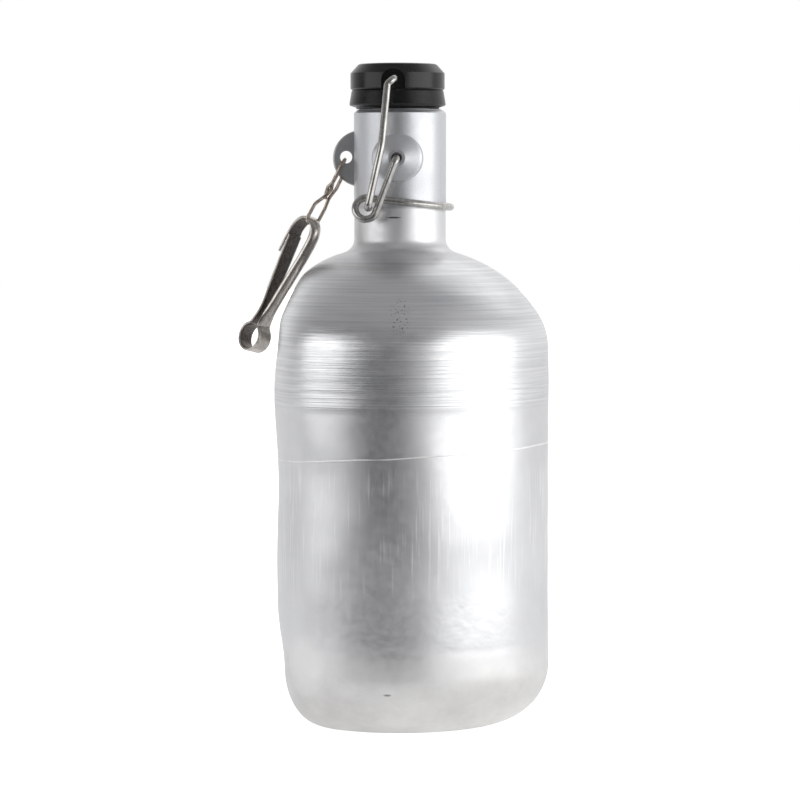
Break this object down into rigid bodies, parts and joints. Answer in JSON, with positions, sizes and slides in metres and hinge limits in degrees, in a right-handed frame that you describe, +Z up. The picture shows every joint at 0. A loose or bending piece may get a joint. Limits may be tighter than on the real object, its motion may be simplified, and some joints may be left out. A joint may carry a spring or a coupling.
{
  "type": "growler",
  "caption": "Metal growler with a wire swing-top stopper, a lug on its neck and a snap hook on a twisted link.",
  "frame": {"origin": "on the neck's axis at the base plane", "axes": "+Z up along the neck, -Y to the front, -X to the carry lug and the pressed side, +X to the lever's bow"},
  "size_m": [0.1164, 0.1102, 0.2435],
  "materials": {
    "aluminium": "spun and drawn, satin, worn",
    "collar": "fine matt silver",
    "lug": "fine matt grey",
    "wire": "bright drawn stainless wire",
    "stopper": "semi-gloss, dusty and scuffed",
    "gasket": "satin rubber",
    "link": "tarnished nickel",
    "hook": "nickel plate, grainy inside"
  },
  "bodies": {
    "bottle": {"bottle_shell": "aluminium", "neck_collar": "collar", "pivot_boss_front": "collar", "pivot_boss_rear": "collar", "pivot_eyelet_front": "collar", "pivot_eyelet_rear": "collar", "carry_lug": "lug"},
    "lever": {"lever_wire": "wire"},
    "bail": {"bail_wire": "wire"},
    "stopper": {"stopper_head": "stopper", "stopper_gasket": "gasket"},
    "link": {"chain_link": "link"},
    "hook": {"hook_frame": "hook"},
    "gate": {"hook_gate": "hook"}
  },
  "joints": [
    {"name": "lever_swing", "type": "hinge", "parent": "bottle", "child": "lever", "pos_m": [0, 0, 0.2085], "axis": [0, -1, 0], "range_deg": [0, 90], "deforming": ["stopper_gasket"]},
    {"name": "bail_swing", "type": "hinge", "parent": "lever", "child": "bail", "pos_m": [-0.0103, 0, 0.1903], "axis": [0, -1, 0], "range_deg": [-54, 0]},
    {"name": "stopper_tilt", "type": "hinge", "parent": "bail", "child": "stopper", "pos_m": [-0.0009, 0, 0.2374], "axis": [0, -1, 0], "range_deg": [-36, 0]},
    {"name": "link_swing", "type": "hinge", "parent": "bottle", "child": "link", "pos_m": [-0.0199, 0, 0.209], "axis": [0, 1, 0], "range_deg": [0, 90]},
    {"name": "hook_swing", "type": "hinge", "parent": "link", "child": "hook", "pos_m": [-0.0321, 0, 0.1864], "axis": [0, 1, 0], "range_deg": [0, 25]},
    {"name": "gate_press", "type": "hinge", "parent": "hook", "child": "gate", "pos_m": [-0.05371, 0.00763, 0.14833], "axis": [0.6351, 0.7431, -0.211], "range_deg": [0, 10], "stiffness_Nm_per_rad": 0.2}
  ],
  "couplings": [
    {"joint": "bail_swing", "follows": "lever_swing", "ratio": -0.6},
    {"joint": "stopper_tilt", "follows": "lever_swing", "ratio": -0.4}
  ]
}
